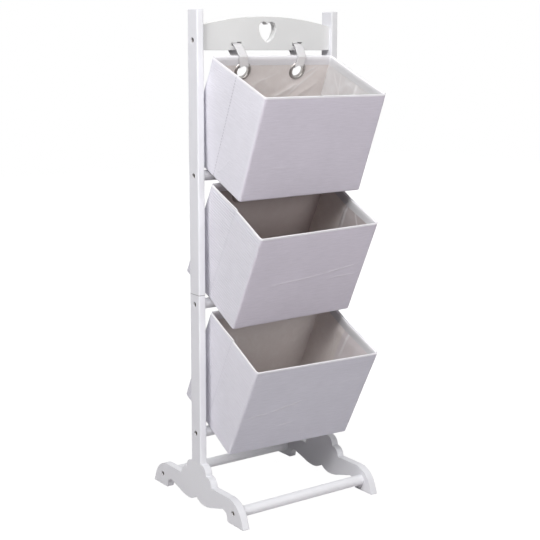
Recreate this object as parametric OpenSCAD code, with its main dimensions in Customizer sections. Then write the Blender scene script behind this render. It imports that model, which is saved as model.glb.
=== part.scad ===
// Three-tier basket storage rack for a nursery or a child's room.
// Two slim posts stand on stepped feet. A top rail with a heart cut-out and round rods join them.
// Three tilted fabric bins hang by webbing loops, each resting on the rod below it.
// X is the width, Y runs from front (minus) to back, Z is up from the floor.

/* [Overall] */
// Outside width over the posts and the feet
rack_w = 350; // [340:1:400]
// Height of the post tops above the floor
rack_h = 1020; // [1012:1:1050]

/* [Posts and boards] */
// Thickness of the posts, the feet and the top rail
board_t = 16; // [15:0.5:18]
// Front-to-back depth of a post
post_d = 35; // [32:1:40]
// Rounding of the posts' long edges
post_edge_r = 2.5; // [1:0.5:4]
// Chamfer round a post's top
post_top_ease = 1.5; // [0.5:0.5:3]
// Height of the joint in the posts above the middle cross rod
post_joint_up = 21; // [19:1:40]

/* [Rods] */
// Diameter of all round rods
rod_d = 22; // [20:1:24]
// Height of the lower cross rod
lower_rod_z = 155; // [150:1:165]
// Height that each tier has less than the tier below it
tier_step = 11.5; // [8:0.5:14]
// Height of the two rods between the feet
foot_rod_z = 24; // [22:1:27]
// Distance of each foot rod from the posts' centre line
foot_rod_y = 138.5; // [134:0.5:144]

/* [Top rail] */
// Distance from the post tops down to the rail's lower edge
rail_drop = 79.5; // [76:0.5:84]
// Height of the rail where it meets a post
rail_end_h = 49; // [47:1:54]
// Rise of the rail's arched top above its ends
rail_rise = 18; // [12:1:24]
// Height of a fixing screw above the rail's lower edge
rail_screw_up = 19.5; // [16:0.5:21]
// Height of a locating pin above the rail's lower edge
rail_pin_up = 37; // [34:0.5:39]
// Distance between the centres of the two strap slots
slot_spread = 151.6; // [140:0.2:170]
// Width of a strap slot
slot_w = 24; // [22:0.5:28]
// Height of a strap slot
slot_h = 7.5; // [7:0.5:9]
// Height of the bar of wood below a strap slot
slot_bar_h = 9; // [8:0.5:10]

/* [Heart] */
// Width of the heart cut-out
heart_w = 42.5; // [36:0.5:48]
// Height of the heart cut-out
heart_h = 41.5; // [36:0.5:44]
// Radius of the heart's two lobes
heart_lobe_r = 11.5; // [10:0.5:12]
// Height of the heart's tip above the rail's lower edge
heart_up = 15.5; // [12:0.5:18]

/* [Feet] */
// Length of a foot from front to back
foot_l = 350; // [340:2:380]
// Height of the ledge that a post stands on
foot_ledge_z = 92; // [90:1:96]
// Radius of the two rounded steps beside a post
foot_step_r = 20; // [18:0.5:21]
// Width of the ledge beyond each side of the post
foot_shoulder = 1; // [0.5:0.5:3]
// Length of each flat toe on the floor
toe_l = 55; // [52:1:60]
// Radius of the rounded top of a toe
toe_r = 50; // [44:1:52]
// Distance that a toe's rounded top stands back from its tip
toe_back = 4.5; // [4:0.5:7]
// Angle at which a toe's rounded top runs out into its steep end
toe_end_angle = 20; // [14:1:28]
// Radius at the upper corner of the arch behind a toe
arch_corner_r = 16.5; // [12:0.5:18]
// Height of the arch behind a toe
arch_h = 22; // [20:0.5:24]
// Distance that the arch's upper corner stands back from the toe
arch_lean = 2; // [1:0.5:4]
// Distance of each belly's lowest line from the posts' centre line
belly_y = 30; // [28:1:34]
// Height of the belly above the floor
belly_z = 5.5; // [5:0.5:8]
// Radius of the belly towards the toe
belly_out_r = 100; // [90:1:110]
// Angle at which the belly starts to rise towards the toe
belly_angle = 20; // [16:1:24]
// Radius of the belly towards the centre
belly_in_r = 45; // [44:1:54]

/* [Bins] */
// Room between a bin and each post when the bin hangs in the middle
bin_side_room = 10; // [7:0.5:20]
// Outside depth of a bin
bin_d = 193; // [180:1:205]
// Tilt of the top bin, which sets how tall the bins are between their rods
top_tilt = 22.5; // [20:0.5:26]
// Radius of a bin's upright corners
bin_corner_r = 8; // [6:0.5:12]
// Thickness of the outer fabric
cover_t = 1; // [0.8:0.1:1.4]
// Thickness of the stiff boards inside the walls
card_t = 2.5; // [2:0.1:3]
// Thickness of the inner lining and of the hem
liner_t = 1; // [0.8:0.1:1.4]
// Depth of the hem that is turned over the rim
hem_h = 18; // [14:1:22]
// Thickness of the board under the bin's floor
base_t = 3; // [2:0.1:4]
// Gap between the two half boards of a side, where the side folds flat
fold_gap = 3; // [2:0.5:5]
// Distance to the right that the top bin has slid on the rail
top_shift = 0.5; // [-4:0.5:4]
// Distance to the right that the middle bin has slid along its rod
middle_shift = 3; // [-4:0.5:4]
// Distance to the right that the lower bin has slid along its rod
lower_shift = 5.5; // [-5:0.5:5.5]

/* [Eyelets and straps] */
// Distance between the centres of a bin's two eyelets
eyelet_spread = 137; // [120:1:150]
// Distance to the left of the bin's middle at which the pair of eyelets sits
eyelets_left = 3.5; // [0:0.5:5]
// Distance of an eyelet's centre below the rim
eyelet_down = 31; // [28:0.5:36]
// Clear hole of an eyelet
eyelet_hole_d = 26; // [25:0.5:28]
// Outer diameter of an eyelet's rolled ring
eyelet_d = 40; // [36:0.5:42]
// Height of an eyelet's rolled ring above the lining
eyelet_dome = 2.2; // [1.5:0.1:2.5]
// Thickness of an eyelet's rolled ring at its inner and outer edge
eyelet_edge_t = 0.4; // [0.2:0.1:0.6]
// Thickness of an eyelet's sleeve
eyelet_sleeve_t = 0.8; // [0.6:0.1:1]
// Thickness of the washer behind the bin
washer_t = 1.2; // [0.8:0.1:1.5]
// Outer diameter of the washer behind the bin
washer_d = 38; // [34:0.5:42]
// Width of the strap webbing
strap_w = 20; // [16:0.5:21]
// Thickness of the strap webbing
strap_t = 1.4; // [1.2:0.1:1.6]
// Inner radius of the webbing's folds
strap_fold_r = 0.3; // [0.2:0.1:0.8]
// Height of the top bin's strap pivot above its rim, square to the rim
top_strap_rise = 2.2; // [1:0.1:3]
// Height of the middle bin's strap pivot above its rim
middle_strap_rise = 3.8; // [1:0.1:4.5]
// Height of the lower bin's strap pivot above its rim
lower_strap_rise = 15.3; // [14:0.1:19]
// Distance of the top bin's strap pivot behind its back
top_stand_off = 33.5; // [30:0.5:36]
// Distance of the middle bin's strap pivot behind its back
middle_stand_off = 25; // [22:0.5:28]
// Distance of the lower bin's strap pivot behind its back
lower_stand_off = 20.5; // [20:0.5:28]
// Distance to the left that the top left strap leans on its way from the eyelet to the rim
top_left_lean = 7; // [0:0.5:8]
// Distance to the right that the top right strap leans on its way from the eyelet to the rim
top_right_lean = 1.5; // [0:0.5:8]
// Distance to the right that the top bin's straps have slid in the rail's slots
slot_slide = 1.4; // [0:0.1:1.8]

/* [Fasteners] */
// Diameter of the screw shanks and of the post studs
screw_d = 6; // [5:0.1:6.4]
// Diameter of the screw heads
screw_head_d = 10; // [9:0.1:10.4]
// Height of the screw heads
screw_head_h = 5; // [4:0.1:5.5]
// Radius of the screws' blunt tips
screw_tip_r = 1; // [0.5:0.1:1.5]
// Depth of the round recess over each screw head
recess_depth = 8; // [7:0.5:9]
// Diameter of the round recess over each screw head
recess_d = 11; // [10.8:0.1:11.5]
// Size across the flats of the screws' hexagon socket
socket_af = 5; // [4:0.1:5]
// Depth of the hexagon socket
socket_depth = 3; // [2:0.1:3.5]
// Length of screw that enters a rod or the rail
screw_grip = 35; // [30:1:40]
// Height at which the heads of the foot screws sit
foot_screw_z = 50; // [45:1:55]
// Length of foot screw that enters a post
foot_screw_grip = 35; // [30:1:38]
// Length of the stud that joins two post halves
stud_l = 26; // [22:1:26]
// Diameter of the rail's wooden locating pins
pin_d = 8; // [6:0.5:8]
// Length of a locating pin inside the rail
pin_in_rail = 16; // [12:1:20]
// Length of a locating pin inside the post
pin_in_post = 8; // [6:0.5:9]

/* [Fits] */
// Radial clearance of screws, studs and pins in their pilot holes
pilot_gap = 0.05; // [0.02:0.01:0.1]
// Radial clearance of a screw shank where it only passes through
shank_gap = 0.2; // [0.1:0.05:0.4]
// Spare depth at the end of a blind hole
blind_spare = 1; // [0.5:0.5:2]
// Gap where a bin rests on the rod or the webbing below it
rest_gap = 0.3; // [0.2:0.05:0.5]
// Gap between the webbing and what it lies on
strap_gap = 0.25; // [0.2:0.05:0.3]

/* [Hidden] */
$fn = 48;
past = 1;
band_step = 15;

// Frame sizes that follow from the driving ones
half_w = rack_w / 2;
inner_gap = rack_w - 2 * board_t;
board_x = half_w - board_t / 2;
rod_r = rod_d / 2;
screw_r = screw_d / 2;
shank_hole_r = screw_r + shank_gap;
pilot_r = screw_r + pilot_gap;
screw_end_x = inner_gap / 2 - screw_grip - blind_spare;
pin_hole_r = pin_d / 2 + pilot_gap;
pin_end_x = inner_gap / 2 - pin_in_rail - blind_spare;
rail_low_z = rack_h - rail_drop;
rail_screw_z = rail_low_z + rail_screw_up;
rail_pin_z = rail_low_z + rail_pin_up;
rail_arch_r = (pow(inner_gap / 2, 2) + pow(rail_rise, 2)) / (2 * rail_rise);
slot_x = slot_spread / 2;

// The bars that the bins hang from: the bar below the rail's slots, and the cross rods,
// which share out the height below it in three tiers
tiers = 3;
bar_z = rail_low_z + slot_bar_h / 2;
tier_h = (bar_z - lower_rod_z) / tiers;
middle_rod_z = lower_rod_z + tier_h + tier_step;
upper_rod_z = middle_rod_z + tier_h;
cross_rod_heights = [upper_rod_z, middle_rod_z, lower_rod_z];
post_joint_z = middle_rod_z + post_joint_up;

// Foot profile sizes
foot_half_l = foot_l / 2;
ledge_half = post_d / 2 + foot_shoulder;
foot_bar_z = foot_ledge_z - 2 * foot_step_r;
toe_in_y = foot_half_l - toe_l;
toe_c = [foot_half_l - toe_back - toe_r, foot_bar_z - toe_r];
arch_c = [toe_in_y - arch_lean - arch_corner_r, arch_h - arch_corner_r];

// Bin walls, from the outside in
bin_w = inner_gap - 2 * bin_side_room;
board_in = cover_t;
liner_in = cover_t + card_t;
wall_t = cover_t + card_t + liner_t;
eyelet_r = eyelet_hole_d / 2;
sleeve_r = eyelet_r + eyelet_sleeve_t;
eyelet_cut_r = sleeve_r + shank_gap;

// Each bin turns about the rod, or the bar below the slots, that its straps go round.
// The top bin's tilt sets the bins' height. The straps' length and the height between the two
// rods set the tilt of the others.
rod_strap_r = rod_r + strap_gap;
bar_strap_r = norm([board_t, slot_bar_h]) / 2 + strap_gap;
strap_layer = rod_r + strap_gap + strap_t + rest_gap;
bin_h = (bar_z - upper_rod_z) * cos(top_tilt) - top_strap_rise - strap_layer;
function tilt(pivot_z, rest_z, rise, rest_r) = acos((bin_h + rise + rest_r) / (pivot_z - rest_z));
middle_tilt = tilt(upper_rod_z, middle_rod_z, middle_strap_rise, strap_layer);
lower_tilt = tilt(middle_rod_z, lower_rod_z, lower_strap_rise, rod_r + rest_gap);

// The posts stand where the whole rack's front and back reach the same distance from the origin.
front_reach = (top_stand_off + bin_d) * cos(top_tilt) - top_strap_rise * sin(top_tilt);
post_y = (front_reach - foot_half_l) / 2;

wood = "#f3f3f5";
fabric = "#dfdde6";
lining = "#c9c2bd";
card = "#b9a68a";
nickel = "#b8b4ad";
webbing = "#efeff2";

function arc(c, r, from, to, n) = [
    for (i = [0:n]) c + r * [cos(from + (to - from) * i / n), sin(from + (to - from) * i / n)]
];

// Extrudes an outline drawn in Y and Z along X, from x over a thickness t
module across(x, t) {
    translate([x, 0, 0]) rotate([90, 0, 90]) linear_extrude(t) children();
}

// A round bar along X
module bar_x(x, y, z, r, l) {
    translate([x, y, z]) rotate([0, 90, 0]) cylinder(r = r, h = l);
}

module at_posts() {
    translate([0, post_y, 0]) children();
}

module both_sides() {
    children();
    mirror([1, 0, 0]) children();
}

// A rectangle with rounded corners, w wide in X and from y = -d to y = 0, drawn in by s
module rounded_plan(w, d, r, s) {
    rr = r - s;
    translate([-w / 2 + s, -d + r]) square([w - 2 * s, d - 2 * r]);
    translate([-w / 2 + r, -d + s]) square([w - 2 * r, d - 2 * s]);
    for (x = [-w / 2 + r, w / 2 - r], y = [-d + r, -r]) translate([x, y]) circle(rr);
}

// Feet and their rods

half_foot = concat(
    [[0, foot_ledge_z]],
    arc([ledge_half, foot_ledge_z - foot_step_r], foot_step_r, 90, 0, 8),
    arc([ledge_half + foot_step_r, foot_bar_z], foot_step_r, 90, 0, 8),
    arc(toe_c, toe_r, 90, toe_end_angle, 12),
    [[foot_half_l, 0], [toe_in_y, 0]],
    arc(arch_c, arch_corner_r, 0, 90, 8),
    arc([belly_y, belly_z + belly_out_r], belly_out_r, -90 + belly_angle, -90, 6),
    arc([belly_y, belly_z + belly_in_r], belly_in_r, -90, -90 - asin(belly_y / belly_in_r), 8)
);
other_half = [for (i = [len(half_foot) - 2:-1:1]) [-half_foot[i][0], half_foot[i][1]]];
foot_outline = concat(half_foot, other_half);

// The right foot; the left one is its mirror image
module foot() {
    at_posts() difference() {
        across(half_w - board_t, board_t) polygon(foot_outline);
        for (y = [-foot_rod_y, foot_rod_y]) {
            bar_x(half_w - board_t - past, y, foot_rod_z, shank_hole_r, board_t + 2 * past);
            bar_x(half_w - recess_depth, y, foot_rod_z, recess_d / 2, recess_depth + past);
        }
        translate([board_x, 0, -past]) cylinder(r = recess_d / 2, h = foot_screw_z + past);
        translate([board_x, 0, 0]) cylinder(r = shank_hole_r, h = foot_ledge_z + past);
    }
}

module right_foot() {
    color(wood) foot();
}

module left_foot() {
    color(wood) mirror([1, 0, 0]) foot();
}

// A round rod between the posts or the feet, with a pilot hole in each end
module rod(y, z) {
    translate([0, post_y + y, z]) difference() {
        bar_x(-inner_gap / 2, 0, 0, rod_r, inner_gap);
        both_sides() bar_x(screw_end_x, 0, 0, pilot_r, board_t + screw_grip);
    }
}

module front_foot_rod() {
    color(wood) rod(-foot_rod_y, foot_rod_z);
}

module back_foot_rod() {
    color(wood) rod(foot_rod_y, foot_rod_z);
}

module upper_cross_rod() {
    color(wood) rod(0, upper_rod_z);
}

module middle_cross_rod() {
    color(wood) rod(0, middle_rod_z);
}

module lower_cross_rod() {
    color(wood) rod(0, lower_rod_z);
}

// Screws: a round head with a hexagon socket, its axis along Z, its seat at z = 0
module socket_screw(shank_l) {
    difference() {
        union() {
            cylinder(d = screw_head_d, h = screw_head_h);
            translate([0, 0, -shank_l + screw_r]) cylinder(d = screw_d, h = shank_l - screw_r);
            translate([0, 0, -shank_l]) cylinder(r1 = screw_tip_r, r2 = screw_r, h = screw_r);
        }
        translate([0, 0, screw_head_h - socket_depth])
            cylinder(d = socket_af / cos(30), h = socket_depth + past, $fn = 6);
    }
}

// Screws from both outer faces into the end of what lies between the posts
module side_screws(y, z) {
    at_posts() both_sides() translate([half_w - recess_depth, y, z]) rotate([0, 90, 0])
        socket_screw(board_t - recess_depth + screw_grip);
}

module foot_rod_screws() {
    color(nickel) for (y = [-foot_rod_y, foot_rod_y]) side_screws(y, foot_rod_z);
}

module cross_rod_screws() {
    color(nickel) for (z = cross_rod_heights) side_screws(0, z);
}

module rail_screws() {
    color(nickel) side_screws(0, rail_screw_z);
}

// Screws that go up through the feet into the posts' end grain
module foot_post_screws() {
    color(nickel) at_posts() both_sides() translate([board_x, 0, foot_screw_z]) rotate([180, 0, 0])
        socket_screw(foot_ledge_z - foot_screw_z + foot_screw_grip);
}

// Posts

module post_blank(low_z, high_z) {
    translate([board_x, post_d / 2, low_z])
        linear_extrude(high_z - low_z) rounded_plan(board_t, post_d, post_edge_r, 0);
}

// A through hole for a screw shank, with the round recess for its head
module screw_way(z) {
    bar_x(half_w - board_t - past, 0, z, shank_hole_r, board_t + 2 * past);
    bar_x(half_w - recess_depth, 0, z, recess_d / 2, recess_depth + past);
}

module stud_hole() {
    translate([board_x, 0, post_joint_z - stud_l / 2 - blind_spare])
        cylinder(r = pilot_r, h = stud_l + 2 * blind_spare);
}

module lower_post() {
    at_posts() difference() {
        post_blank(foot_ledge_z, post_joint_z);
        screw_way(middle_rod_z);
        screw_way(lower_rod_z);
        stud_hole();
        translate([board_x, 0, foot_ledge_z - past])
            cylinder(r = pilot_r, h = foot_screw_grip + blind_spare + past);
    }
}

// The top's four edges are chamfered by tilted blocks
module upper_post() {
    ease = post_top_ease * sqrt(2);
    at_posts() difference() {
        post_blank(post_joint_z, rack_h);
        screw_way(upper_rod_z);
        screw_way(rail_screw_z);
        stud_hole();
        bar_x(half_w - board_t - past, 0, rail_pin_z, pin_hole_r, past + pin_in_post + blind_spare);
        for (s = [-1, 1]) {
            translate([board_x, s * post_d / 2, rack_h]) rotate([45, 0, 0])
                cube([board_t + 2 * past, ease, ease], center = true);
            translate([board_x + s * board_t / 2, 0, rack_h]) rotate([0, 45, 0])
                cube([ease, post_d + 2 * past, ease], center = true);
        }
    }
}

module right_lower_post() {
    color(wood) lower_post();
}

module left_lower_post() {
    color(wood) mirror([1, 0, 0]) lower_post();
}

module right_upper_post() {
    color(wood) upper_post();
}

module left_upper_post() {
    color(wood) mirror([1, 0, 0]) upper_post();
}

module post_studs() {
    color(nickel) at_posts() both_sides() translate([board_x, 0, post_joint_z - stud_l / 2])
        cylinder(r = screw_r, h = stud_l);
}

// Top rail

// Two round lobes over a point whose sides are arcs that meet the lobes smoothly
module heart() {
    half = heart_w / 2;
    below = heart_h - heart_lobe_r;
    side_r = (pow(half, 2) + pow(below, 2)) / (2 * half);
    for (s = [-1, 1]) translate([s * (half - heart_lobe_r), below]) circle(heart_lobe_r);
    intersection() {
        translate([side_r - half, below]) circle(side_r);
        translate([half - side_r, below]) circle(side_r);
        translate([-half, 0]) square([heart_w, below]);
    }
}

module rail_outline() {
    intersection() {
        translate([-inner_gap / 2, 0]) square([inner_gap, rail_end_h + rail_rise + past]);
        translate([0, rail_end_h + rail_rise - rail_arch_r]) circle(rail_arch_r, $fn = 180);
    }
}

module top_rail() {
    color(wood) translate([0, post_y, rail_low_z]) difference() {
        translate([0, board_t / 2, 0]) rotate([90, 0, 0]) linear_extrude(board_t) difference() {
            rail_outline();
            translate([0, heart_up]) heart();
            for (s = [-1, 1]) translate([s * slot_x - slot_w / 2, slot_bar_h]) square([slot_w, slot_h]);
        }
        both_sides() {
            bar_x(screw_end_x, 0, rail_screw_up, pilot_r, board_t + screw_grip);
            bar_x(pin_end_x, 0, rail_pin_up, pin_hole_r, board_t + pin_in_rail);
        }
    }
}

module rail_pins() {
    color("burlywood") at_posts() both_sides()
        bar_x(inner_gap / 2 - pin_in_rail, 0, rail_pin_z, pin_d / 2, pin_in_rail + pin_in_post);
}

// Bins. Each is drawn upright, its back at y = 0 and its rim at z = 0, and then tilted
// about its strap pivot, which lies stand_off behind the back and rise above the rim.

module hung(pivot_z, angle, stand_off, rise, shift) {
    translate([shift, post_y, pivot_z]) rotate([angle, 0, 0])
        translate([0, -stand_off, -rise]) children();
}

module hung_top() {
    hung(bar_z, top_tilt, top_stand_off, top_strap_rise, top_shift) children();
}

module hung_middle() {
    hung(upper_rod_z, middle_tilt, middle_stand_off, middle_strap_rise, middle_shift) children();
}

module hung_lower() {
    hung(middle_rod_z, lower_tilt, lower_stand_off, lower_strap_rise, lower_shift) children();
}

// A ring of wall between two depths from the outside, from z = low to z = high
module wall_ring(outer_in, inner_in, low, high) {
    translate([0, 0, low]) linear_extrude(high - low) difference() {
        rounded_plan(bin_w, bin_d, bin_corner_r, outer_in);
        rounded_plan(bin_w, bin_d, bin_corner_r, inner_in);
    }
}

module floor_sheet(outer_in, low, t) {
    translate([0, 0, low]) linear_extrude(t) rounded_plan(bin_w, bin_d, bin_corner_r, outer_in);
}

// Where the eyelet and the top bin's strap on the side s are along X
function eyelet_x(s) = s * eyelet_spread / 2 - eyelets_left;
function slot_strap_x(s) = s * slot_x + slot_slide - top_shift;

module at_eyelets() {
    for (s = [-1, 1]) translate([eyelet_x(s), 0, -eyelet_down]) children();
}

// The holes for the eyelets through the whole back wall
module eyelet_holes() {
    at_eyelets() translate([0, past, 0]) rotate([90, 0, 0]) cylinder(r = eyelet_cut_r, h = wall_t + 2 * past);
}

module bin_cover() {
    color(fabric) difference() {
        union() {
            wall_ring(0, board_in, -bin_h + cover_t, -liner_t);
            floor_sheet(0, -bin_h, cover_t);
        }
        eyelet_holes();
    }
}

module bin_liner() {
    floor_z = -bin_h + cover_t + base_t;
    color(lining) difference() {
        union() {
            wall_ring(liner_in, wall_t, floor_z + liner_t, -liner_t - hem_h);
            floor_sheet(liner_in, floor_z, liner_t);
        }
        eyelet_holes();
    }
}

// The hem caps the rim and runs down inside, flush with the lining
module bin_hem() {
    color(fabric) difference() {
        union() {
            wall_ring(0, wall_t, -liner_t, 0);
            wall_ring(liner_in, wall_t, -liner_t - hem_h, -liner_t);
        }
        eyelet_holes();
    }
}

module card_sheet(w, y) {
    translate([-w / 2, y, -bin_h + cover_t]) cube([w, card_t, bin_h - cover_t - liner_t]);
}

module bin_back_board() {
    color(card) difference() {
        card_sheet(bin_w - 2 * bin_corner_r, -liner_in);
        eyelet_holes();
    }
}

module bin_front_board() {
    color(card) card_sheet(bin_w - 2 * bin_corner_r, -bin_d + board_in);
}

// Each side has two half boards, so that it can fold inwards along its middle
module bin_side_boards() {
    half_d = (bin_d - fold_gap) / 2 - bin_corner_r;
    color(card) both_sides() for (y = [-bin_d + bin_corner_r, -bin_corner_r - half_d])
        translate([bin_w / 2 - liner_in, y, -bin_h + cover_t])
            cube([card_t, half_d, bin_h - cover_t - liner_t]);
}

module bin_base_board() {
    color(card) floor_sheet(liner_in, -bin_h + cover_t, base_t);
}

// An eyelet is a sleeve through the wall with a ring rolled over the lining
module bin_eyelets() {
    roll = (eyelet_d / 2 - eyelet_r) / 2;
    crown = eyelet_dome - eyelet_edge_t;
    dome_r = (pow(roll, 2) + pow(crown, 2)) / (2 * crown);
    color(nickel) at_eyelets() rotate([90, 0, 0]) rotate_extrude() translate([eyelet_r, wall_t]) {
        translate([0, -wall_t - washer_t])
            square([eyelet_sleeve_t, washer_t + wall_t + eyelet_edge_t / 2]);
        intersection() {
            square([2 * roll, eyelet_dome]);
            translate([roll, eyelet_dome - dome_r]) circle(dome_r);
        }
    }
}

module bin_washers() {
    color(nickel) at_eyelets() rotate([-90, 0, 0]) difference() {
        cylinder(d = washer_d, h = washer_t);
        translate([0, 0, -past]) cylinder(r = sleeve_r + pilot_gap, h = washer_t + 2 * past);
    }
}

// Webbing loops. A loop is a flat band drawn tight round rollers, each [centre, radius], which
// lie in Y and Z and follow each other anticlockwise. Its middle is at xs[i] on roller i.

// The direction, as an angle, that the band's outer face has on its run from roller a to roller b
function run_angle(a, b) = let (d = b[0] - a[0]) atan2(d[1], d[0]) - acos((a[1] - b[1]) / norm(d));

function sweep_angle(from, to) = ((to - from) % 360 + 360) % 360;

// The band's cross-section on roller i at an angle: inner edge, then outer edge
function band_section(roller, angle, x) = let (
    u = [cos(angle), sin(angle)],
    low = roller[0] + (roller[1] - strap_t / 2) * u,
    high = roller[0] + (roller[1] + strap_t / 2) * u
) [
    [x - strap_w / 2, low[0], low[1]], [x + strap_w / 2, low[0], low[1]],
    [x + strap_w / 2, high[0], high[1]], [x - strap_w / 2, high[0], high[1]]
];

function band_sections(rollers, xs) = [
    for (i = [0:len(rollers) - 1]) let (
        roller = rollers[i],
        before = rollers[(i + len(rollers) - 1) % len(rollers)],
        after = rollers[(i + 1) % len(rollers)],
        from = run_angle(before, roller),
        sweep = sweep_angle(from, run_angle(roller, after)),
        steps = ceil(sweep / band_step)
    ) for (k = [0:steps]) band_section(roller, from + sweep * k / steps, xs[i])
];

module band(rollers, xs) {
    sections = band_sections(rollers, xs);
    n = len(sections);
    polyhedron([for (section = sections) each section], [
        for (i = [0:n - 1], k = [0:3]) let (
            a = 4 * i + k,
            b = 4 * i + (k + 1) % 4,
            c = 4 * ((i + 1) % n) + (k + 1) % 4,
            d = 4 * ((i + 1) % n) + k
        ) each [[a, c, b], [a, d, c]]
    ]);
}

// A loop: over the pivot at x = top_x, over the rim at rim_x, down inside to the eyelet at x, out
// through it and back up
module strap_loop(x, rim_x, top_x, stand_off, rise, r) {
    fold_r = strap_fold_r + strap_t / 2;
    reach = sqrt(pow(eyelet_r - strap_gap, 2) - pow(strap_w / 2, 2));
    hole_z = -eyelet_down + reach - strap_t / 2 + fold_r;
    inside_y = -wall_t - eyelet_dome - strap_gap - strap_t / 2 + fold_r;
    outside_y = washer_t + strap_gap + strap_t / 2 - fold_r;
    band([
        [[stand_off, rise], r + strap_t / 2],
        [[inside_y, 0], fold_r],
        [[inside_y, hole_z], fold_r],
        [[outside_y, hole_z], fold_r]
    ], [top_x, rim_x, x, x]);
}

// The loops on the side s, -1 for the left one and 1 for the right one
module top_strap(s, lean) {
    x = eyelet_x(s);
    color(webbing) hung_top()
        strap_loop(x, x + lean, slot_strap_x(s), top_stand_off, top_strap_rise, bar_strap_r);
}

module middle_strap(s) {
    x = eyelet_x(s);
    color(webbing) hung_middle()
        strap_loop(x, x, x, middle_stand_off, middle_strap_rise, rod_strap_r);
}

module lower_strap(s) {
    x = eyelet_x(s);
    color(webbing) hung_lower()
        strap_loop(x, x, x, lower_stand_off, lower_strap_rise, rod_strap_r);
}

module top_bin_cover() { hung_top() bin_cover(); }
module top_bin_liner() { hung_top() bin_liner(); }
module top_bin_hem() { hung_top() bin_hem(); }
module top_bin_back_board() { hung_top() bin_back_board(); }
module top_bin_front_board() { hung_top() bin_front_board(); }
module top_bin_side_boards() { hung_top() bin_side_boards(); }
module top_bin_base_board() { hung_top() bin_base_board(); }
module top_bin_eyelets() { hung_top() bin_eyelets(); }
module top_bin_washers() { hung_top() bin_washers(); }
module top_bin_left_strap() { top_strap(-1, -top_left_lean); }
module top_bin_right_strap() { top_strap(1, top_right_lean); }

module middle_bin_cover() { hung_middle() bin_cover(); }
module middle_bin_liner() { hung_middle() bin_liner(); }
module middle_bin_hem() { hung_middle() bin_hem(); }
module middle_bin_back_board() { hung_middle() bin_back_board(); }
module middle_bin_front_board() { hung_middle() bin_front_board(); }
module middle_bin_side_boards() { hung_middle() bin_side_boards(); }
module middle_bin_base_board() { hung_middle() bin_base_board(); }
module middle_bin_eyelets() { hung_middle() bin_eyelets(); }
module middle_bin_washers() { hung_middle() bin_washers(); }
module middle_bin_left_strap() { middle_strap(-1); }
module middle_bin_right_strap() { middle_strap(1); }

module lower_bin_cover() { hung_lower() bin_cover(); }
module lower_bin_liner() { hung_lower() bin_liner(); }
module lower_bin_hem() { hung_lower() bin_hem(); }
module lower_bin_back_board() { hung_lower() bin_back_board(); }
module lower_bin_front_board() { hung_lower() bin_front_board(); }
module lower_bin_side_boards() { hung_lower() bin_side_boards(); }
module lower_bin_base_board() { hung_lower() bin_base_board(); }
module lower_bin_eyelets() { hung_lower() bin_eyelets(); }
module lower_bin_washers() { hung_lower() bin_washers(); }
module lower_bin_left_strap() { lower_strap(-1); }
module lower_bin_right_strap() { lower_strap(1); }

left_foot();
right_foot();
front_foot_rod();
back_foot_rod();
foot_rod_screws();
left_lower_post();
right_lower_post();
foot_post_screws();
post_studs();
left_upper_post();
right_upper_post();
top_rail();
rail_pins();
rail_screws();
upper_cross_rod();
middle_cross_rod();
lower_cross_rod();
cross_rod_screws();
top_bin_cover();
top_bin_liner();
top_bin_hem();
top_bin_back_board();
top_bin_front_board();
top_bin_side_boards();
top_bin_base_board();
top_bin_eyelets();
top_bin_washers();
top_bin_left_strap();
top_bin_right_strap();
middle_bin_cover();
middle_bin_liner();
middle_bin_hem();
middle_bin_back_board();
middle_bin_front_board();
middle_bin_side_boards();
middle_bin_base_board();
middle_bin_eyelets();
middle_bin_washers();
middle_bin_left_strap();
middle_bin_right_strap();
lower_bin_cover();
lower_bin_liner();
lower_bin_hem();
lower_bin_back_board();
lower_bin_front_board();
lower_bin_side_boards();
lower_bin_base_board();
lower_bin_eyelets();
lower_bin_washers();
lower_bin_left_strap();
lower_bin_right_strap();
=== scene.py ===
import math

import bmesh
import bpy
import numpy as np
from mathutils import Matrix, Vector, noise


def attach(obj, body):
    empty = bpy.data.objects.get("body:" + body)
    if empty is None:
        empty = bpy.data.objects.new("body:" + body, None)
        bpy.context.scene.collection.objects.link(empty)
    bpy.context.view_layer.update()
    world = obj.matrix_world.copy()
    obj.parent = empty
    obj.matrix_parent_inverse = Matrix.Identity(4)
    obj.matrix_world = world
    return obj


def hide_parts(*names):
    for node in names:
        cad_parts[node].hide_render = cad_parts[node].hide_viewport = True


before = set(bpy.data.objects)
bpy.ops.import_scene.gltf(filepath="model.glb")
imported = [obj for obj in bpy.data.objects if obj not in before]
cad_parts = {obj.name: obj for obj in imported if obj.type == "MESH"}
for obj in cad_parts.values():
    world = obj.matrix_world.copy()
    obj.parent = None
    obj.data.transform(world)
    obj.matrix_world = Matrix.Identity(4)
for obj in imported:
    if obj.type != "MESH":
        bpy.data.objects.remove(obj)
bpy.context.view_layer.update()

# Feet.
# Two boards of 16 mm wood with stepped shoulders and a scalloped underside. They are cut out,
# sanded round their edges and sprayed with satin white paint, as is all the wood of the rack.


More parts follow.
